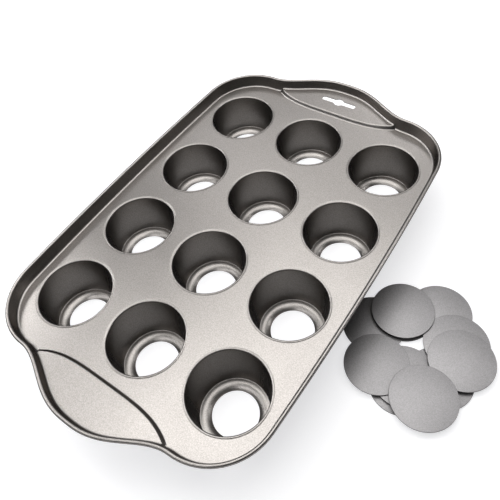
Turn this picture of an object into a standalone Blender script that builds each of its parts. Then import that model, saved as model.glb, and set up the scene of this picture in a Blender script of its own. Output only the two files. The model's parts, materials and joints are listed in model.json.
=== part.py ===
"""Twelve-cup mini cheesecake pan with its twelve loose round bases.

The pan is one pressed sheet, the frame, with a raised shelf at each end for a
handle and a rolled rim, and twelve drawn cups that hang from their lips in its
deck. Each cup has a round opening in its foot. The bases lie beside the pan in
a fanned ring, as they do when the pan is shown empty.

Metres, +Z up, +X across the three columns, +Y along the four rows towards the
handle with the hanging slot. The origin lies on the table, under the middle of
the box round the pan and its bases.
"""

import math

import bmesh
import bpy
from mathutils import Vector

MM = 0.001

# Sheet, gap between seated pieces and welding distance of the meshes
SHEET = 0.6 * MM
CLEARANCE = 0.3 * MM
MERGE_DISTANCE = 0.01 * MM

# Cup: radii are of its inner face, the depth runs from the deck to the table
CUP_MOUTH_RADIUS = 28.0 * MM
CUP_TAPER = 4.0 * MM
CUP_DEPTH = 37.0 * MM
CUP_FOOT_FILLET = 1.5 * MM
CUP_LEDGE_WIDTH = 1.6 * MM
CUP_ROLL_WIDTH = 4.9 * MM
CUP_ROLL_HEIGHT = 3.8 * MM
LIP_WIDTH = 1.75 * MM
LIP_HEIGHT = 0.7 * MM

# Layout of the cups: webs are the bare deck between two neighbouring lips
COLUMNS = 3
ROWS = 4
WEB_ACROSS = 10.3 * MM
WEB_ALONG = 12.2 * MM

# Deck, wall and rolled rim of the frame
SIDE_MARGIN = 13.85 * MM
SIDE_BOW = 2.55 * MM
CORNER_RADIUS = 44.9 * MM
RIM_HEIGHT = 10.85 * MM
RIM_ROLL_RADIUS = 1.4 * MM
WALL_FLARE = 1.6 * MM
WALL_FOOT_BEND = 1.8 * MM

# Handle shelves: the step leads up from the deck, the tip is the pan's end
STEP_MARGIN = 6.9 * MM
STEP_RUN = 3.0 * MM
SHELF_HEIGHT = 2.8 * MM
HANDLE_DEPTH = 35.4 * MM
TIP_RISE = 20.4 * MM
SHELF_END_SHARE = 0.905
TIP_FULLNESS = 1.25
STEP_CURL = 4.0

# Hanging slot in the shelf at +Y, with a wider eye at its middle
SLOT_INSET = 18.1 * MM
SLOT_LENGTH = 33.0 * MM
SLOT_WIDTH = 4.7 * MM
SLOT_EYE_LENGTH = 9.0 * MM
SLOT_EYE_WIDTH = 8.4 * MM
SLOT_EYE_TOP_SHARE = 0.3

# Loose bases and their pile: places are shares of a base's radius, and a
# level is a layer of the pile, counted from the table
BASE_GAP = 2.0 * MM
BASE_THICKNESS = 0.8 * MM
PILE_STANDOFF = 34.8 * MM
PILE_SHIFT = -3.0 * MM
PILE_PLACE_SHARES = (
    (0.17, -1.295, 1),
    (-0.80, 0.89, 1),
    (-1.405, 0.04, 2),
    (1.06, -0.57, 2),
    (0.215, 1.465, 2),
    (0.215, 1.465, 3),
    (0.17, -1.10, 3),
    (-0.71, -1.19, 4),
    (1.07, 0.67, 4),
    (1.405, 0.215, 5),
    (-0.80, 0.89, 5),
    (0.92, -1.465, 6),
)

# How finely round forms are divided, and the bend that still shades as an edge
CUP_SIDES = 24
BASE_SIDES = 28
LIP_STEPS = 3
FILLET_STEPS = 2
HOLE_ROLL_STEPS = 2
CORNER_STEPS = 5
SIDE_STEPS = 2
TIP_STEPS = 5
STEP_ROWS = 2
STEP_COLUMNS = 10
FOOT_BEND_STEPS = 2
RIM_ROLL_STEPS = 6
SLOT_END_STEPS = 4
SHARP_BEND = math.radians(50)

# Radii and heights that follow from the sizes above
CUP_FOOT_RADIUS = CUP_MOUTH_RADIUS - CUP_TAPER
CUP_HOLE_RADIUS = CUP_FOOT_RADIUS - CUP_FOOT_FILLET - CUP_LEDGE_WIDTH - CUP_ROLL_WIDTH
CUP_LEDGE_TOP = CUP_ROLL_HEIGHT
LIP_RADIUS = CUP_MOUTH_RADIUS + LIP_WIDTH
DECK_HOLE_RADIUS = CUP_MOUTH_RADIUS + SHEET + CLEARANCE
DECK_TOP = CUP_DEPTH
BASE_RADIUS = CUP_FOOT_RADIUS - BASE_GAP

# Plan sizes of the frame, measured from its middle
PITCH_ACROSS = 2 * LIP_RADIUS + WEB_ACROSS
PITCH_ALONG = 2 * LIP_RADIUS + WEB_ALONG
LAST_COLUMN = PITCH_ACROSS * (COLUMNS - 1) / 2
LAST_ROW = PITCH_ALONG * (ROWS - 1) / 2
HALF_WIDTH = LAST_COLUMN + LIP_RADIUS + SIDE_MARGIN
STEP_FOOT = LAST_ROW + LIP_RADIUS + STEP_MARGIN
HALF_LENGTH = STEP_FOOT + HANDLE_DEPTH
SHOULDER = HALF_LENGTH - TIP_RISE
SIDE_END_TURN = 2 * math.atan(SIDE_BOW / (SHOULDER - CORNER_RADIUS))
SIDE_END = SHOULDER - CORNER_RADIUS * (1 - math.sin(SIDE_END_TURN))
SIDE_RADIUS = SIDE_END / math.sin(SIDE_END_TURN)
SIDE_CENTRE = HALF_WIDTH - SIDE_RADIUS
TIP_HALF_WIDTH = SIDE_CENTRE + (SIDE_RADIUS - CORNER_RADIUS) * math.cos(SIDE_END_TURN)
SHELF_END = TIP_HALF_WIDTH * SHELF_END_SHARE
SLOT_CENTRE = HALF_LENGTH - SLOT_INSET

# Place of the pan and of the pile: the box round both is centred on X = 0
PILE_CENTRE = HALF_WIDTH + PILE_STANDOFF
PILE_REACH = PILE_CENTRE + BASE_RADIUS * (1 + max(place[0] for place in PILE_PLACE_SHARES))
PAN_X = (HALF_WIDTH - PILE_REACH) / 2


def clear_scene():
    """Remove every object, so that the file opens on the part alone."""
    for old in list(bpy.data.objects):
        bpy.data.objects.remove(old, do_unlink=True)


def make_material(name, colour, metallic, roughness):
    """A Principled material for one of the two coatings."""
    material = bpy.data.materials.new(name)
    material.use_nodes = True
    shader = material.node_tree.nodes["Principled BSDF"]
    shader.inputs["Base Color"].default_value = (*colour, 1.0)
    shader.inputs["Metallic"].default_value = metallic
    shader.inputs["Roughness"].default_value = roughness
    material.diffuse_color = (*colour, 1.0)
    return material


def add_object(name, mesh, material, location, parent, collection):
    """Link one named piece at its place under its parent."""
    piece = bpy.data.objects.new(name, mesh)
    piece.location = location
    piece.parent = parent
    if material.name not in mesh.materials:
        mesh.materials.append(material)
    collection.objects.link(piece)
    return piece


def arc(centre, radii, start, end, steps):
    """Points of an elliptic arc in a plane, from start to end in degrees."""
    turns = [math.radians(start + (end - start) * i / steps) for i in range(steps + 1)]
    return [(centre[0] + radii[0] * math.cos(a), centre[1] + radii[1] * math.sin(a)) for a in turns]


def cup_profile():
    """Closed section of a cup's sheet: down its outer face, up its inner face."""
    lip = arc((CUP_MOUTH_RADIUS + LIP_WIDTH / 2, DECK_TOP + CLEARANCE),
              (LIP_WIDTH / 2, LIP_HEIGHT), 180, 0, LIP_STEPS)
    neck = [(CUP_MOUTH_RADIUS + SHEET, DECK_TOP + CLEARANCE)]
    bend = (CUP_FOOT_RADIUS - CUP_FOOT_FILLET, CUP_LEDGE_TOP + CUP_FOOT_FILLET)
    bend_out = CUP_FOOT_FILLET + SHEET
    roll = (CUP_HOLE_RADIUS + CUP_ROLL_WIDTH, 0.0)
    roll_under = (CUP_ROLL_WIDTH - SHEET, CUP_ROLL_HEIGHT - SHEET)
    outer = arc(bend, (bend_out, bend_out), 0, -90, FILLET_STEPS)
    outer += arc(roll, roll_under, 90, 180, HOLE_ROLL_STEPS)
    inner = arc(roll, (CUP_ROLL_WIDTH, CUP_ROLL_HEIGHT), 180, 90, HOLE_ROLL_STEPS)
    inner += arc(bend, (CUP_FOOT_FILLET, CUP_FOOT_FILLET), -90, 0, FILLET_STEPS)
    return lip + neck + outer + inner


def profile_mesh(name, profile):
    """A closed ring of edges in the XZ plane, ready to be turned about Z."""
    mesh = bpy.data.meshes.new(name)
    points = [(radius, 0.0, height) for radius, height in profile]
    edges = [(i, (i + 1) % len(points)) for i in range(len(points))]
    mesh.from_pydata(points, edges, [])
    return mesh


def turn(piece, sides):
    """Revolve a profile about the piece's Z axis."""
    screw = piece.modifiers.new("Turn", "SCREW")
    screw.axis = "Z"
    screw.angle = math.tau
    screw.steps = sides
    screw.render_steps = sides
    screw.use_merge_vertices = True
    screw.merge_threshold = MERGE_DISTANCE
    screw.use_smooth_shade = True


def cup_places():
    """Centres of the cups on the frame, row by row from -Y, each from -X."""
    return [(column * PITCH_ACROSS - LAST_COLUMN, row * PITCH_ALONG - LAST_ROW)
            for row in range(ROWS) for column in range(COLUMNS)]


def tip_outline(x):
    """Distance of the rim's outer edge from the middle, over the handle's end."""
    share = min(abs(x) / TIP_HALF_WIDTH, 1.0) ** TIP_FULLNESS
    return SHOULDER + TIP_RISE * (1 + math.cos(math.pi * share)) / 2


def tip_normal(x):
    """Outward unit normal of that edge, from its slope over a sheet's thickness."""
    slope = (tip_outline(x + SHEET / 2) - tip_outline(x - SHEET / 2)) / SHEET
    return Vector((-slope, 1.0)).normalized()


def on_circle(centre, radius, turned):
    """A station of the outline on a circle, over the deck."""
    normal = Vector((math.cos(turned), math.sin(turned)))
    return centre + normal * radius, normal, 0.0


def quarter_outline():
    """Outer edge of the rim from the tip to the side: point, normal, base height.

    The base height is that of the floor at the wall's foot: the shelf's at the
    tip, the deck's past the step, and between them down the step's end.
    """
    stations = []
    last_shelf = SHELF_END - STEP_RUN
    for i in range(TIP_STEPS):
        stations.append((last_shelf * i / TIP_STEPS, SHELF_HEIGHT))
    for i in range(STEP_ROWS + 1):
        share = 1 - i / STEP_ROWS
        stations.append((SHELF_END - STEP_RUN * share, step_height(share)))
    outline = [(Vector((x, tip_outline(x))), tip_normal(x), height) for x, height in stations]
    corner = Vector((TIP_HALF_WIDTH, SHOULDER - CORNER_RADIUS))
    for i in range(CORNER_STEPS + 1):
        turned = math.pi / 2 + (SIDE_END_TURN - math.pi / 2) * i / CORNER_STEPS
        outline.append(on_circle(corner, CORNER_RADIUS, turned))
    side = Vector((SIDE_CENTRE, 0.0))
    for i in range(1, SIDE_STEPS + 1):
        outline.append(on_circle(side, SIDE_RADIUS, SIDE_END_TURN * (1 - i / SIDE_STEPS)))
    return outline


def whole_outline():
    """The rim's outer edge, mirrored to all four quarters, clockwise from +Y."""
    def flipped(stations, x, y):
        return [(Vector((p.x * x, p.y * y)), Vector((n.x * x, n.y * y)), h) for p, n, h in stations]
    quarter = quarter_outline()
    right = quarter + flipped(quarter[1:-1], 1, -1)[::-1]
    tip_below = flipped(quarter[:1], 1, -1)
    left = flipped(right[1:], -1, 1)[::-1]
    return right + tip_below + left


def step_height(share):
    """Height of the step above the deck at a share of its run."""
    return SHELF_HEIGHT * (1 - math.cos(math.pi * share)) / 2


def wall_section(base):
    """Section of the wall: inset from the outer edge and height above the deck."""
    wall_top = RIM_HEIGHT - RIM_ROLL_RADIUS
    foot = 2 * RIM_ROLL_RADIUS + WALL_FLARE * (wall_top - base) / wall_top
    bend = arc((foot + WALL_FOOT_BEND, base + WALL_FOOT_BEND),
               (WALL_FOOT_BEND, WALL_FOOT_BEND), 270, 180, FOOT_BEND_STEPS)
    roll = arc((RIM_ROLL_RADIUS, wall_top), (RIM_ROLL_RADIUS, RIM_ROLL_RADIUS), 0, 270, RIM_ROLL_STEPS)
    return bend + roll


def loft(bm, rows, closed):
    """Faces between rows of vertices of the same count."""
    for lower, upper in zip(rows, rows[1:]):
        count = len(lower)
        for i in range(count if closed else count - 1):
            j = (i + 1) % count
            bm.faces.new((lower[i], lower[j], upper[j], upper[i]))


def chain(bm, verts, closed):
    """Edges through a run of vertices, made where they are missing."""
    pairs = list(zip(verts, verts[1:]))
    if closed:
        pairs.append((verts[-1], verts[0]))
    found = []
    for a, b in pairs:
        edge = bm.edges.get((a, b))
        found.append(edge if edge else bm.edges.new((a, b)))
    return found


def ring_of(bm, centre, radius, height):
    """A closed ring of edges on the deck, in step with a cup's sides."""
    verts = []
    for i in range(CUP_SIDES):
        turned = math.tau * i / CUP_SIDES
        verts.append(bm.verts.new((centre[0] + radius * math.cos(turned),
                                   centre[1] + radius * math.sin(turned), height)))
    return chain(bm, verts, True)


def slot_outline():
    """Outline of the hanging slot about its own middle."""
    half = SLOT_WIDTH / 2
    end = SLOT_LENGTH / 2 - half
    eye = SLOT_EYE_LENGTH / 2
    eye_half = SLOT_EYE_WIDTH / 2
    upper = arc((-end, 0.0), (half, half), 180, 90, SLOT_END_STEPS)
    upper += [(-eye, half), (-eye * SLOT_EYE_TOP_SHARE, eye_half)]
    upper += [(-x, y) for x, y in upper[:0:-1]]
    upper.append((end + half, 0.0))
    return upper + [(x, -y) for x, y in upper[-2:0:-1]]


def step_rows(bm, edge_runs, end):
    """Vertices of one step, row by row; its ends are vertices of the wall's foot."""
    rows = []
    for i, (left, right) in enumerate(edge_runs):
        share = i / STEP_ROWS
        foot = (STEP_FOOT + STEP_RUN * share) * end
        row = [left]
        for j in range(1, STEP_COLUMNS):
            across = 2 * j / STEP_COLUMNS - 1
            y = foot + (right.co.y - foot) * abs(across) ** STEP_CURL
            row.append(bm.verts.new((right.co.x * across, y, step_height(share))))
        row.append(right)
        rows.append(row)
    return rows


def frame_mesh():
    """Upper face of the frame's sheet: deck, two shelves, wall and rolled rim."""
    bm = bmesh.new()
    outline = whole_outline()
    rows = [[] for _ in wall_section(0.0)]
    for point, normal, base in outline:
        for row, (inset, height) in zip(rows, wall_section(base)):
            flat = point - normal * inset
            row.append(bm.verts.new((flat.x, flat.y, height)))
    loft(bm, rows, True)
    foot = rows[0]
    count = len(foot)
    first = TIP_STEPS
    last = TIP_STEPS + STEP_ROWS
    half = count // 2

    far_runs = [(foot[-i], foot[i]) for i in range(last, first - 1, -1)]
    near_runs = [(foot[half + i], foot[half - i]) for i in range(last, first - 1, -1)]
    far = step_rows(bm, far_runs, 1)
    near = step_rows(bm, near_runs, -1)
    loft(bm, far, False)
    loft(bm, near, False)

    deck = chain(bm, foot[last:half - last + 1], False)
    deck += chain(bm, foot[half + last:count - last + 1], False)
    deck += chain(bm, far[0], False) + chain(bm, near[0], False)
    for place in cup_places():
        deck += ring_of(bm, place, DECK_HOLE_RADIUS, 0.0)
    bmesh.ops.triangle_fill(bm, use_beauty=True, edges=deck, normal=(0, 0, 1))

    shelf = chain(bm, foot[-first:] + foot[:first + 1], False) + chain(bm, far[-1], False)
    slot = [bm.verts.new((x, SLOT_CENTRE + y, SHELF_HEIGHT)) for x, y in slot_outline()]
    shelf += chain(bm, slot, True)
    bmesh.ops.triangle_fill(bm, use_beauty=True, edges=shelf, normal=(0, 0, 1))
    other = chain(bm, foot[half - first:half + first + 1], False) + chain(bm, near[-1], False)
    bmesh.ops.triangle_fill(bm, use_beauty=True, edges=other, normal=(0, 0, 1))

    bmesh.ops.recalc_face_normals(bm, faces=bm.faces[:])
    deck_faces = [face for face in bm.faces if abs(face.calc_center_median().z) < MERGE_DISTANCE]
    if sum(face.normal.z for face in deck_faces) < 0:
        bmesh.ops.reverse_faces(bm, faces=bm.faces[:])
    mesh = bpy.data.meshes.new("pan_frame")
    bm.to_mesh(mesh)
    bm.free()
    return mesh


def thicken(piece):
    """Give an open sheet its thickness, behind the face that was drawn."""
    solid = piece.modifiers.new("Sheet", "SOLIDIFY")
    solid.thickness = SHEET
    solid.offset = -1.0
    solid.use_even_offset = True
    solid.use_quality_normals = True


def base_mesh():
    """A round plain base, standing on Z = 0."""
    bm = bmesh.new()
    bmesh.ops.create_cone(bm, cap_ends=True, segments=BASE_SIDES, radius1=BASE_RADIUS,
                          radius2=BASE_RADIUS, depth=BASE_THICKNESS)
    bmesh.ops.translate(bm, verts=bm.verts, vec=(0, 0, BASE_THICKNESS / 2))
    mesh = bpy.data.meshes.new("base_disc")
    bm.to_mesh(mesh)
    bm.free()
    return mesh


def smooth(mesh):
    """Smooth shading with hard edges kept at sharp bends."""
    mesh.shade_smooth()
    mesh.set_sharp_from_angle(angle=SHARP_BEND)


def build_pan(collection, coating):
    """The frame and its cups, on an empty at the middle of the pan."""
    pan = bpy.data.objects.new("pan_middle", None)
    pan.location = (PAN_X, 0, 0)
    collection.objects.link(pan)
    sheet = frame_mesh()
    smooth(sheet)
    thicken(add_object("pan_frame", sheet, coating, (0, 0, DECK_TOP), pan, collection))
    section = profile_mesh("cup", cup_profile())
    for number, (x, y) in enumerate(cup_places(), start=1):
        cup = add_object(f"cup_{number:02d}", section, coating, (x, y, 0), pan, collection)
        turn(cup, CUP_SIDES)


def build_pile(collection, coating):
    """The bases, from the table up, each carried by the one before it."""
    disc = base_mesh()
    smooth(disc)
    carrier = None
    carrier_place = Vector((0, 0, 0))
    for number, (across, along, level) in enumerate(PILE_PLACE_SHARES, start=1):
        place = Vector((PAN_X + PILE_CENTRE + across * BASE_RADIUS,
                        PILE_SHIFT + along * BASE_RADIUS,
                        (level - 1) * (BASE_THICKNESS + CLEARANCE)))
        carrier = add_object(f"base_disc_{number:02d}", disc, coating, place - carrier_place,
                             carrier, collection)
        carrier_place = place


def main():
    clear_scene()
    collection = bpy.data.collections.new("mini_cheesecake_pan")
    bpy.context.scene.collection.children.link(collection)
    pan_coating = make_material("pan_coating", (0.40, 0.36, 0.32), 0.75, 0.38)
    disc_coating = make_material("disc_coating", (0.34, 0.33, 0.34), 0.75, 0.42)
    build_pan(collection, pan_coating)
    build_pile(collection, disc_coating)


main()
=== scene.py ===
"""Looks of the mini cheesecake pan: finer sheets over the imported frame, coatings and light.

The frame, the cups and the bases are each drawn again as finer meshes on the
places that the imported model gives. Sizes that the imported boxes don't show have
the names and values of the part's source, in metres. The foot and the lip of a
cup and the edge of a base are drawn more softly than in the solids, from values
of their own.
"""

import json
import math
from collections import Counter

import bmesh
import bpy
from mathutils import Euler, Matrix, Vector


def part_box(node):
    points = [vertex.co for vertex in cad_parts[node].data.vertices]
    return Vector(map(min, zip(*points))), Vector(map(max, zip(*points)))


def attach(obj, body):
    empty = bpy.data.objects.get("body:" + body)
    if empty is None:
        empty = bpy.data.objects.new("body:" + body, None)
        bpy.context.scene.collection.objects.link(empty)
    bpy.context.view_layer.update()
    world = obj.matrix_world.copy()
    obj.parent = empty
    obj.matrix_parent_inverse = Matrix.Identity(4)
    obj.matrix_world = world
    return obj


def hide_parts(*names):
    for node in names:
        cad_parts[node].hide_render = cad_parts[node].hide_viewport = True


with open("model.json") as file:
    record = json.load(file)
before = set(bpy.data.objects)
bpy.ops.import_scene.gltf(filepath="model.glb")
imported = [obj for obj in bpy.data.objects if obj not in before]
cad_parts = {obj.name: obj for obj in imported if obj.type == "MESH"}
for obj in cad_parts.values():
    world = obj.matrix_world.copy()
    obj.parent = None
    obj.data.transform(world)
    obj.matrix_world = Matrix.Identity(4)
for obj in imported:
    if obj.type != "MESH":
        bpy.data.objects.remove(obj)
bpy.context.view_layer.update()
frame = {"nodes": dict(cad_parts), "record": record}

MM = 0.001

# Sheet of the pan, and the broken edge of a loose base
SHEET = 0.6 * MM
BASE_EDGE = 0.2 * MM

# Cup: radii are of its inner face
CUP_MOUTH_RADIUS = 28.0 * MM
CUP_TAPER = 4.0 * MM
CUP_FOOT_FILLET = 1.5 * MM
CUP_LEDGE_WIDTH = 1.6 * MM
CUP_ROLL_WIDTH = 4.9 * MM
CUP_FOOT_RADIUS = CUP_MOUTH_RADIUS - CUP_TAPER
CUP_HOLE_RADIUS = CUP_FOOT_RADIUS - CUP_FOOT_FILLET - CUP_LEDGE_WIDTH - CUP_ROLL_WIDTH

# Foot of a cup: a tight corner, a ledge and a low roll that is cut before it is upright
FOOT_CORNER = 0.6 * MM
FOOT_CREST = 3.0 * MM
FOOT_ROLL_WIDTH = 6.6 * MM
ROLL_CUT_DEGREES = 118

# Lip: a slope out of the cup, a low crest and a narrow groove in the deck, by radius and height
LIP_EDGE = 28.9 * MM
LIP_CREST = 28.5 * MM
LIP_FOOT = 27.3 * MM
LIP_RISE = 0.18 * MM
LIP_SLOPE = 1.0 * MM
DIP_DEPTH = 0.15 * MM
DIP_START = 29.5 * MM
DIP_END = 28.75 * MM

# Strip beside each bend that stays flat, so that the bend doesn't shade the deck
FLAT_STRIP = 0.4 * MM

# Deck, wall, rim, shelf and slot of the frame
DECK_TOP = 37.0 * MM
SIDE_BOW = 2.55 * MM
CORNER_RADIUS = 44.9 * MM
RIM_ROLL_RADIUS = 1.4 * MM
WALL_FLARE = 1.6 * MM
WALL_FOOT_BEND = 1.8 * MM
HANDLE_DEPTH = 35.4 * MM
STEP_RUN = 3.0 * MM
STEP_CURL = 4.0
SHELF_HEIGHT = 2.8 * MM
SHELF_END_SHARE = 0.905
TIP_RISE = 20.4 * MM
TIP_FULLNESS = 1.25
SLOT_INSET = 18.1 * MM
SLOT_LENGTH = 33.0 * MM
SLOT_WIDTH = 4.7 * MM
SLOT_EYE_LENGTH = 9.0 * MM
SLOT_EYE_WIDTH = 8.4 * MM
SLOT_EYE_TOP_SHARE = 0.3

# How finely round forms are divided
CUP_SIDES = 96
BASE_SIDES = 128
BASE_EDGE_STEPS = 3
ARC_STEPS = 10
DIP_STEPS = 6
WALL_STEPS = 6
RIM_ROLL_STEPS = 20
CORNER_STEPS = 18
SIDE_STEPS = 10
TIP_STEPS = 24
SHOULDER_STEPS = 4
STEP_COLUMNS = 48
SHARP_BEND = math.radians(50)

# Rows up the curl of a step, and its span with one level row more at either end
STEP_ROWS = 10
STEP_SPAN = STEP_ROWS + 2

# Camera, measured from the middle of the pan on the table
CAMERA_FROM_PAN = Vector((207.8, -209.4, 401.0)) * MM
CAMERA_TURN_DEGREES = (44.74, 7.37, 35.25)
CAMERA_LENS = 43.56
CAMERA_SHIFT = (0.022, -0.18)

# Floor: its glow in metal fades where the pan covers the sky within reach
FLOOR_SIZE = 6.0
FLOOR_COLOUR = (0.5, 0.5, 0.505, 1)
FLOOR_GLOW = (0.985, 0.985, 1.0, 1)
FLOOR_LIFT = 0.66
OPEN_REACH = 0.2
OPEN_POWER = 3.0
OPEN_SAMPLES = 8

# Sky: place on the ramp and colour, of its dim side and of its glow
SKY_GLOW_TOWARDS = (-0.55, 0.55, 0.63)
SKY_DIM = (0.2, (0.045, 0.045, 0.047, 1))
SKY_BRIGHT = (1.0, (0.22, 0.22, 0.225, 1))
WHITE = (1, 1, 1, 1)

# Lamps look straight down: place, size, watts and colour
LAMP_HEIGHT = 1.0
NEUTRAL = (1, 1, 1)
WARM = (1, 1, 0.985)
LAMPS = {
    "over": ((0.05, -0.05), (0.5, 0.5), 2.2, WARM),
    "key": ((-0.4, 0.0), (0.4, 0.4), 2.2, WARM),
    "middle": ((-0.1, 0.44), (0.8, 0.5), 4.1, WARM),
    "left_back": ((-0.8, 0.8), (0.5, 0.5), 1.5, NEUTRAL),
    "back": ((-0.4, 1.2), (0.5, 0.4), 2.0, NEUTRAL),
    "side": ((-1.2, 0.0), (0.4, 0.4), 7.0, NEUTRAL),
    "left": ((-1.1, -0.6), (0.9, 0.6), 7.5, NEUTRAL),
    "right": ((0.8, 0.8), (0.4, 0.4), 4.5, NEUTRAL),
    "front": ((-0.2, -0.8), (0.8, 0.4), 3.4, NEUTRAL),
}

# Coatings: fleck is how far the colour strays, and grain the scale of the noise
PAN_COAT = {"colour": (0.285, 0.268, 0.256), "fleck": 0.18, "roughness": 0.33, "grain": 1400.0}
DISC_COAT = {"colour": (0.28, 0.272, 0.276), "fleck": 0.14, "roughness": 0.5, "grain": 1800.0}

# What the coatings share: noise, swing of the gloss, relief of the grain, dark at glancing angles
FLECK_LOW = 0.32
FLECK_HIGH = 0.68
FINE_DETAIL = 3.0
BROAD_DETAIL = 2.0
FINE_PER_BROAD = 40
GLOSS_SWING = 0.05
GRAIN_STRENGTH = 0.12
GRAIN_DEPTH = 0.05 * MM
EDGE_TINT = (0.0, 0.0, 0.0, 1)

# Sizes of the frame that follow from its packed box
pan_low, pan_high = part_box("pan_frame")
PAN_MIDDLE = (pan_low + pan_high) / 2
HALF_WIDTH = (pan_high.x - pan_low.x) / 2
HALF_LENGTH = (pan_high.y - pan_low.y) / 2
RIM_HEIGHT = pan_high.z - DECK_TOP
SHOULDER = HALF_LENGTH - TIP_RISE
SIDE_END_TURN = 2 * math.atan(SIDE_BOW / (SHOULDER - CORNER_RADIUS))
SIDE_END = SHOULDER - CORNER_RADIUS * (1 - math.sin(SIDE_END_TURN))
SIDE_RADIUS = SIDE_END / math.sin(SIDE_END_TURN)
SIDE_CENTRE = HALF_WIDTH - SIDE_RADIUS
TIP_HALF_WIDTH = SIDE_CENTRE + (SIDE_RADIUS - CORNER_RADIUS) * math.cos(SIDE_END_TURN)
STEP_FOOT = HALF_LENGTH - HANDLE_DEPTH
SHELF_END = TIP_HALF_WIDTH * SHELF_END_SHARE
SLOT_CENTRE = HALF_LENGTH - SLOT_INSET


def eased(share):
    """A rise from 0 to 1 with share, level at both ends and beyond them."""
    return (1 - math.cos(math.pi * min(max(share, 0.0), 1.0))) / 2


def arc(centre, radii, start, end, steps=ARC_STEPS):
    """Points of an elliptic arc in a plane, from start to end in degrees."""
    turns = [math.radians(start + (end - start) * i / steps) for i in range(steps + 1)]
    return [(centre[0] + radii[0] * math.cos(a), centre[1] + radii[1] * math.sin(a)) for a in turns]


def round_arc(centre, radius, start, end, steps=ARC_STEPS):
    """Points of a circle's arc in a plane, from start to end in degrees."""
    return arc(centre, (radius, radius), start, end, steps)


def shade(mesh):
    """Smooth shading that breaks at tight bends and at open edges."""
    mesh.shade_smooth()
    mesh.set_sharp_from_angle(angle=SHARP_BEND)
    uses = Counter(loop.edge_index for loop in mesh.loops)
    for edge in mesh.edges:
        if uses[edge.index] == 1:
            edge.use_edge_sharp = True


def add_piece(name, mesh, material, body, replaced):
    """Link a finished mesh, let it ride on its body and stand for its CAD node."""
    shade(mesh)
    mesh.materials.append(material)
    piece = bpy.data.objects.new(name, mesh)
    bpy.context.scene.collection.objects.link(piece)
    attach(piece, body)
    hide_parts(replaced)
    return piece


def mesh_from(name, bm):
    """A mesh of what was drawn."""
    mesh = bpy.data.meshes.new(name)
    bm.to_mesh(mesh)
    bm.free()
    return mesh


def ring(bm, centre, radius, height, sides):
    """Vertices on a level circle about an upright axis."""
    turns = [math.tau * i / sides for i in range(sides)]
    return [bm.verts.new((centre.x + radius * math.cos(a), centre.y + radius * math.sin(a), height))
            for a in turns]


def loft(bm, rows, closed=False):
    """Faces between rows of vertices of the same count; closed rows run all round."""
    for lower, upper in zip(rows, rows[1:]):
        count = len(lower)
        for i in range(count if closed else count - 1):
            j = (i + 1) % count
            bm.faces.new((lower[i], lower[j], upper[j], upper[i]))


def chain(bm, verts, closed=False):
    """Edges through a run of vertices, made where they are missing."""
    pairs = list(zip(verts, verts[1:]))
    if closed:
        pairs.append((verts[-1], verts[0]))
    found = []
    for a, b in pairs:
        edge = bm.edges.get((a, b))
        found.append(edge if edge else bm.edges.new((a, b)))
    return found


def fill(bm, edges):
    """Level faces inside an outline, around the openings in it."""
    bmesh.ops.triangle_fill(bm, use_beauty=True, edges=edges, normal=(0, 0, 1))


def turned_mesh(name, profile, sides, foot, closed=False):
    """A profile of radius and height, turned about an upright axis; an open one gets flat ends."""
    bm = bmesh.new()
    rows = [ring(bm, foot, radius, foot.z + height, sides) for radius, height in profile]
    if closed:
        loft(bm, rows + rows[:1], closed=True)
    else:
        loft(bm, rows, closed=True)
        bm.faces.new(rows[-1])
        bm.faces.new(rows[0][::-1])
    bmesh.ops.recalc_face_normals(bm, faces=bm.faces)
    return mesh_from(name, bm)


def cup_profile():
    """Section of a cup: up its inner face, over the lip and down its outer face."""
    cut = math.radians(ROLL_CUT_DEGREES)
    # The roll's cut end lies at the opening, with its lower face at the foot's own level
    roll_width = -FOOT_ROLL_WIDTH / math.cos(cut)
    roll_height = (FOOT_CREST - SHEET * math.sin(cut)) / (1 - math.sin(cut))
    roll = (CUP_HOLE_RADIUS + FOOT_ROLL_WIDTH, FOOT_CREST - roll_height)
    bend = (CUP_FOOT_RADIUS - FOOT_CORNER, FOOT_CREST + FOOT_CORNER)
    inner = arc(roll, (roll_width, roll_height), ROLL_CUT_DEGREES, 90)
    inner += round_arc(bend, FOOT_CORNER, -90, 0)
    slope = (LIP_CREST - LIP_FOOT, LIP_SLOPE + LIP_RISE)
    lip = arc((LIP_CREST, DECK_TOP - LIP_SLOPE), slope, 180, 90)
    lip += arc((LIP_CREST, DECK_TOP), (LIP_EDGE - LIP_CREST, LIP_RISE), 90, 0)[1:]
    neck = [(LIP_EDGE, DECK_TOP - DIP_DEPTH - SHEET)]
    neck.append((LIP_FOOT + SHEET, DECK_TOP - LIP_SLOPE - SHEET))
    outer = round_arc(bend, FOOT_CORNER + SHEET, 0, -90)
    outer += arc(roll, (roll_width - SHEET, roll_height - SHEET), 90, ROLL_CUT_DEGREES)
    return inner + lip + neck + outer


def base_profile(thickness, radius):
    """Half section of a flat base with softly broken edges."""
    inset = radius - BASE_EDGE
    lower = round_arc((inset, BASE_EDGE), BASE_EDGE, -90, 0, BASE_EDGE_STEPS)
    upper = round_arc((inset, thickness - BASE_EDGE), BASE_EDGE, 0, 90, BASE_EDGE_STEPS)
    return lower + upper


def tip_outline(x):
    """Distance of the rim's outer edge from the middle, over the handle's end."""
    return SHOULDER + TIP_RISE * eased(1 - (abs(x) / TIP_HALF_WIDTH) ** TIP_FULLNESS)


def tip_normal(x):
    """Outward unit normal of that edge, from its slope over a sheet's thickness."""
    slope = (tip_outline(x + SHEET / 2) - tip_outline(x - SHEET / 2)) / SHEET
    return Vector((-slope, 1.0)).normalized()


def on_circle(centre, radius, turned):
    """A station of the outline on a circle, over the deck."""
    normal = Vector((math.cos(turned), math.sin(turned)))
    return centre + normal * radius, normal, 0.0


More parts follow.
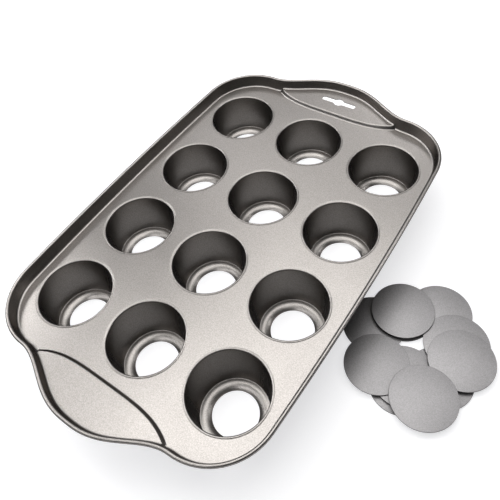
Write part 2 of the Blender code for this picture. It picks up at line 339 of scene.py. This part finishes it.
def quarter_outline():
    """Outer edge of the rim from the tip to the side: point, normal, base height."""
    stations = [((SHELF_END - STEP_RUN) * i / TIP_STEPS, SHELF_HEIGHT) for i in range(TIP_STEPS)]
    for i in range(STEP_SPAN + 1):
        share = 1 - (i - 1) / STEP_ROWS
        stations.append((SHELF_END - STEP_RUN * share, SHELF_HEIGHT * eased(share)))
    rest = TIP_HALF_WIDTH - stations[-1][0]
    for i in range(1, SHOULDER_STEPS):
        stations.append((TIP_HALF_WIDTH - rest * (1 - i / SHOULDER_STEPS), 0.0))
    outline = [(Vector((x, tip_outline(x))), tip_normal(x), height) for x, height in stations]
    corner = Vector((TIP_HALF_WIDTH, SHOULDER - CORNER_RADIUS))
    for i in range(CORNER_STEPS + 1):
        turned = math.pi / 2 + (SIDE_END_TURN - math.pi / 2) * i / CORNER_STEPS
        outline.append(on_circle(corner, CORNER_RADIUS, turned))
    side = Vector((SIDE_CENTRE, 0.0))
    for i in range(1, SIDE_STEPS + 1):
        outline.append(on_circle(side, SIDE_RADIUS, SIDE_END_TURN * (1 - i / SIDE_STEPS)))
    return outline


def whole_outline():
    """The rim's outer edge, mirrored to all four quarters, clockwise from +Y."""
    def flipped(stations, x, y):
        return [(Vector((p.x * x, p.y * y)), Vector((n.x * x, n.y * y)), h) for p, n, h in stations]
    quarter = quarter_outline()
    right = quarter + flipped(quarter[1:-1], 1, -1)[::-1]
    tip_below = flipped(quarter[:1], 1, -1)
    left = flipped(right[1:], -1, 1)[::-1]
    return right + tip_below + left


def wall_section(base):
    """Section of the wall: inset from the outer edge and height above the deck."""
    wall_top = RIM_HEIGHT - RIM_ROLL_RADIUS
    foot = 2 * RIM_ROLL_RADIUS + WALL_FLARE * (wall_top - base) / wall_top
    bend = round_arc((foot + WALL_FOOT_BEND, base + WALL_FOOT_BEND), WALL_FOOT_BEND, 270, 180)
    roll = round_arc((RIM_ROLL_RADIUS, wall_top), RIM_ROLL_RADIUS, 0, 270, RIM_ROLL_STEPS)
    strip = [(bend[0][0] + FLAT_STRIP, base)]
    low, high = bend[-1], roll[0]
    wall = []
    for i in range(1, WALL_STEPS):
        share = i / WALL_STEPS
        wall.append((low[0] + (high[0] - low[0]) * share, low[1] + (high[1] - low[1]) * share))
    return strip + bend + wall + roll


def wall_faces(bm):
    """Wall and rolled rim; gives the vertices of the wall's foot, clockwise from +Y."""
    rows = [[] for _ in wall_section(0.0)]
    for point, normal, base in whole_outline():
        for row, (inset, height) in zip(rows, wall_section(base)):
            flat = point - normal * inset
            row.append(bm.verts.new((PAN_MIDDLE.x + flat.x, flat.y, DECK_TOP + height)))
    loft(bm, rows, closed=True)
    return rows[0]


def step_rows(bm, row_ends, side):
    """Vertices of the step on one side (1 or -1 in Y), row by row upwards between given ends."""
    rows = []
    for i, (left, right) in enumerate(row_ends):
        share = (i - 1) / STEP_ROWS
        middle = (STEP_FOOT + STEP_RUN * share) * side
        height = DECK_TOP + SHELF_HEIGHT * eased(share)
        half = right.co.x - PAN_MIDDLE.x
        row = [left]
        for j in range(1, STEP_COLUMNS):
            across = 2 * j / STEP_COLUMNS - 1
            y = middle + (right.co.y - middle) * abs(across) ** STEP_CURL
            row.append(bm.verts.new((PAN_MIDDLE.x + half * across, y, height)))
        row.append(right)
        rows.append(row)
    return rows


def dipped_edge(bm, centre):
    """Rings of the deck that dip towards a cup; gives the outermost as edges."""
    stations = [(DIP_START + FLAT_STRIP, DECK_TOP)]
    for i in range(DIP_STEPS + 1):
        share = i / DIP_STEPS
        radius = DIP_START + (DIP_END - DIP_START) * share
        stations.append((radius, DECK_TOP - DIP_DEPTH * eased(share)))
    rows = [ring(bm, centre, radius, height, CUP_SIDES) for radius, height in stations]
    loft(bm, rows, closed=True)
    return chain(bm, rows[0], closed=True)


def slot_outline():
    """Outline of the hanging slot about its own middle."""
    half = SLOT_WIDTH / 2
    end = SLOT_LENGTH / 2 - half
    eye = SLOT_EYE_LENGTH / 2
    upper = round_arc((-end, 0.0), half, 180, 90)
    upper += [(-eye, half), (-eye * SLOT_EYE_TOP_SHARE, SLOT_EYE_WIDTH / 2)]
    upper += [(-x, y) for x, y in upper[:0:-1]]
    upper.append((end + half, 0.0))
    return upper + [(x, -y) for x, y in upper[-2:0:-1]]


def turn_upwards(bm):
    """Turn all faces the same way, so that those of the deck look up."""
    bmesh.ops.recalc_face_normals(bm, faces=bm.faces)
    deck_faces = [f for f in bm.faces if abs(f.calc_center_median().z - DECK_TOP) < SHEET / 10]
    if sum(f.normal.z for f in deck_faces) < 0:
        bmesh.ops.reverse_faces(bm, faces=bm.faces)


def frame_mesh(cup_centres):
    """Upper face of the frame's sheet: deck, two shelves, wall and rolled rim."""
    bm = bmesh.new()
    foot = wall_faces(bm)
    count = len(foot)
    half = count // 2

    # Stations of the wall's foot between which it climbs a step, counted from a tip
    head = TIP_STEPS
    tail = TIP_STEPS + STEP_SPAN
    climb = range(tail, head - 1, -1)
    far = step_rows(bm, [(foot[-i], foot[i]) for i in climb], 1)
    near = step_rows(bm, [(foot[half + i], foot[half - i]) for i in climb], -1)
    loft(bm, far)
    loft(bm, near)

    deck = chain(bm, foot[tail:half - tail + 1])
    deck += chain(bm, foot[half + tail:count - tail + 1])
    deck += chain(bm, far[0]) + chain(bm, near[0])
    for centre in cup_centres:
        deck += dipped_edge(bm, centre)
    fill(bm, deck)

    shelf_top = DECK_TOP + SHELF_HEIGHT
    slot = [bm.verts.new((PAN_MIDDLE.x + x, SLOT_CENTRE + y, shelf_top)) for x, y in slot_outline()]
    far_shelf = chain(bm, foot[-head:] + foot[:head + 1]) + chain(bm, far[-1])
    fill(bm, far_shelf + chain(bm, slot, closed=True))
    fill(bm, chain(bm, foot[half - head:half + head + 1]) + chain(bm, near[-1]))

    turn_upwards(bm)
    return mesh_from("frame_sheet", bm)


def new_material(name):
    """A new material, its node tree and its Principled shader."""
    material = bpy.data.materials.new(name)
    material.use_nodes = True
    return material, material.node_tree, material.node_tree.nodes["Principled BSDF"]


def noise(tree, place, scale, detail):
    """Strength of a noise that is laid out by the object's own coordinates."""
    texture = tree.nodes.new("ShaderNodeTexNoise")
    texture.inputs["Scale"].default_value = scale
    texture.inputs["Detail"].default_value = detail
    tree.links.new(place.outputs["Object"], texture.inputs["Vector"])
    return texture.outputs["Fac"]


def coating(name, colour, fleck, roughness, grain):
    """Sprayed non-stick coating: fine flecks in colour, gloss and height over sheet metal."""
    material, tree, shader = new_material(name)
    link = tree.links.new
    place = tree.nodes.new("ShaderNodeTexCoord")
    fine = noise(tree, place, grain, FINE_DETAIL)
    broad = noise(tree, place, grain / FINE_PER_BROAD, BROAD_DETAIL)

    tint = tree.nodes.new("ShaderNodeValToRGB")
    stops = ((FLECK_LOW, 1 - fleck), (FLECK_HIGH, 1 + fleck))
    for stop, (position, strength) in zip(tint.color_ramp.elements, stops):
        stop.position = position
        stop.color = (*[c * strength for c in colour], 1)
    link(fine, tint.inputs["Fac"])
    link(tint.outputs["Color"], shader.inputs["Base Color"])

    gloss = tree.nodes.new("ShaderNodeMapRange")
    gloss.inputs["To Min"].default_value = roughness - GLOSS_SWING
    gloss.inputs["To Max"].default_value = roughness + GLOSS_SWING
    link(broad, gloss.inputs["Value"])
    link(gloss.outputs["Result"], shader.inputs["Roughness"])

    bump = tree.nodes.new("ShaderNodeBump")
    bump.inputs["Strength"].default_value = GRAIN_STRENGTH
    bump.inputs["Distance"].default_value = GRAIN_DEPTH
    link(fine, bump.inputs["Height"])
    link(bump.outputs["Normal"], shader.inputs["Normal"])

    shader.inputs["Metallic"].default_value = 1.0
    shader.inputs["Specular Tint"].default_value = EDGE_TINT
    return material


def maths(tree, operation, first, second):
    """Result of a maths node on another node's output and an output or a number."""
    node = tree.nodes.new("ShaderNodeMath")
    node.operation = operation
    tree.links.new(first, node.inputs[0])
    if isinstance(second, float):
        node.inputs[1].default_value = second
    else:
        tree.links.new(second, node.inputs[1])
    return node.outputs["Value"]


def floor_material():
    """White floor that keeps the shadow and shows bright to the camera and in metal."""
    material, tree, shader = new_material("floor_white")
    shader.inputs["Base Color"].default_value = FLOOR_COLOUR
    shader.inputs["Roughness"].default_value = 1.0
    shader.inputs["Specular IOR Level"].default_value = 0.0
    shader.inputs["Emission Color"].default_value = FLOOR_GLOW
    open_sky = tree.nodes.new("ShaderNodeAmbientOcclusion")
    open_sky.samples = OPEN_SAMPLES
    open_sky.inputs["Distance"].default_value = OPEN_REACH
    openness = maths(tree, "POWER", open_sky.outputs["AO"], OPEN_POWER)
    ray = tree.nodes.new("ShaderNodeLightPath").outputs
    bounced = maths(tree, "ADD", ray["Is Glossy Ray"], ray["Is Transmission Ray"])
    mirrored = maths(tree, "MULTIPLY", bounced, openness)
    seen = maths(tree, "ADD", ray["Is Camera Ray"], mirrored)
    lift = maths(tree, "MULTIPLY", seen, FLOOR_LIFT)
    tree.links.new(lift, shader.inputs["Emission Strength"])
    return material


def foot_of(low, high):
    """Middle of a box, on its lowest level."""
    return Vector(((low.x + high.x) / 2, (low.y + high.y) / 2, low.z))


def build_pan(coat):
    """The twelve cups and the frame's sheet, over their CAD nodes."""
    cup_centres = []
    for name in sorted(frame["nodes"]):
        if not name.startswith("cup_"):
            continue
        centre = foot_of(*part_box(name))
        cup_centres.append(centre)
        mesh = turned_mesh(name, cup_profile(), CUP_SIDES, centre, closed=True)
        add_piece(name + "_drawn", mesh, coat, "pan", name)
    sheet = add_piece("pan_sheet", frame_mesh(cup_centres), coat, "pan", "pan_frame")
    solid = sheet.modifiers.new("Sheet", "SOLIDIFY")
    solid.thickness = SHEET
    solid.offset = -1.0
    solid.use_even_offset = True
    solid.use_quality_normals = True


def build_bases(coat):
    """The loose bases, each on its own body and in the box of its CAD node."""
    for body, members in frame["record"]["behaviour"]["bodies"].items():
        if body == "pan":
            continue
        name = members[0]
        low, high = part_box(name)
        profile = base_profile(high.z - low.z, (high.y - low.y) / 2)
        mesh = turned_mesh(name, profile, BASE_SIDES, foot_of(low, high))
        add_piece(name + "_plate", mesh, coat, body, name)


def studio_world():
    """Dim room with a broad glow to one side; the camera itself sees it white."""
    world = bpy.data.worlds.new("studio")
    world.use_nodes = True
    tree = world.node_tree
    link = tree.links.new
    place = tree.nodes.new("ShaderNodeTexCoord")
    glow = tree.nodes.new("ShaderNodeVectorMath")
    glow.operation = "DOT_PRODUCT"
    glow.inputs[1].default_value = SKY_GLOW_TOWARDS
    link(place.outputs["Generated"], glow.inputs[0])
    ramp = tree.nodes.new("ShaderNodeValToRGB")
    for stop, (position, colour) in zip(ramp.color_ramp.elements, (SKY_DIM, SKY_BRIGHT)):
        stop.position = position
        stop.color = colour
    link(glow.outputs["Value"], ramp.inputs["Fac"])
    ray = tree.nodes.new("ShaderNodeLightPath")
    seen = tree.nodes.new("ShaderNodeMix")
    seen.data_type = "RGBA"
    seen.inputs["B"].default_value = WHITE
    link(ray.outputs["Is Camera Ray"], seen.inputs["Factor"])
    link(ramp.outputs["Color"], seen.inputs["A"])
    link(seen.outputs["Result"], tree.nodes["Background"].inputs["Color"])
    return world


def add_lamp(name, place, size, power, colour):
    """A soft lamp that looks straight down."""
    light = bpy.data.lights.new(name, "AREA")
    light.shape = "RECTANGLE"
    light.size, light.size_y = size
    light.energy = power
    light.color = colour
    lamp = bpy.data.objects.new(name, light)
    lamp.location = (*place, LAMP_HEIGHT)
    bpy.context.scene.collection.objects.link(lamp)


def build_stage():
    """Floor, world and lamps."""
    bpy.ops.mesh.primitive_plane_add(size=FLOOR_SIZE, location=(0, 0, 0))
    floor = bpy.context.object
    floor.name = "floor"
    floor.data.materials.append(floor_material())
    bpy.context.scene.world = studio_world()
    for name, (place, size, power, colour) in LAMPS.items():
        add_lamp(name, place, size, power, colour)


def build_camera():
    """The photograph's viewpoint, placed from the middle of the pan."""
    data = bpy.data.cameras.new("camera")
    data.lens = CAMERA_LENS
    data.shift_x, data.shift_y = CAMERA_SHIFT
    camera = bpy.data.objects.new("camera", data)
    camera.location = Vector((PAN_MIDDLE.x, 0, 0)) + CAMERA_FROM_PAN
    camera.rotation_euler = Euler([math.radians(turn) for turn in CAMERA_TURN_DEGREES], "XYZ")
    bpy.context.scene.collection.objects.link(camera)
    bpy.context.scene.camera = camera


build_camera()
build_pan(coating("pan_coat", **PAN_COAT))
build_bases(coating("disc_coat", **DISC_COAT))
build_stage()
bpy.context.scene.view_settings.view_transform = "Standard"
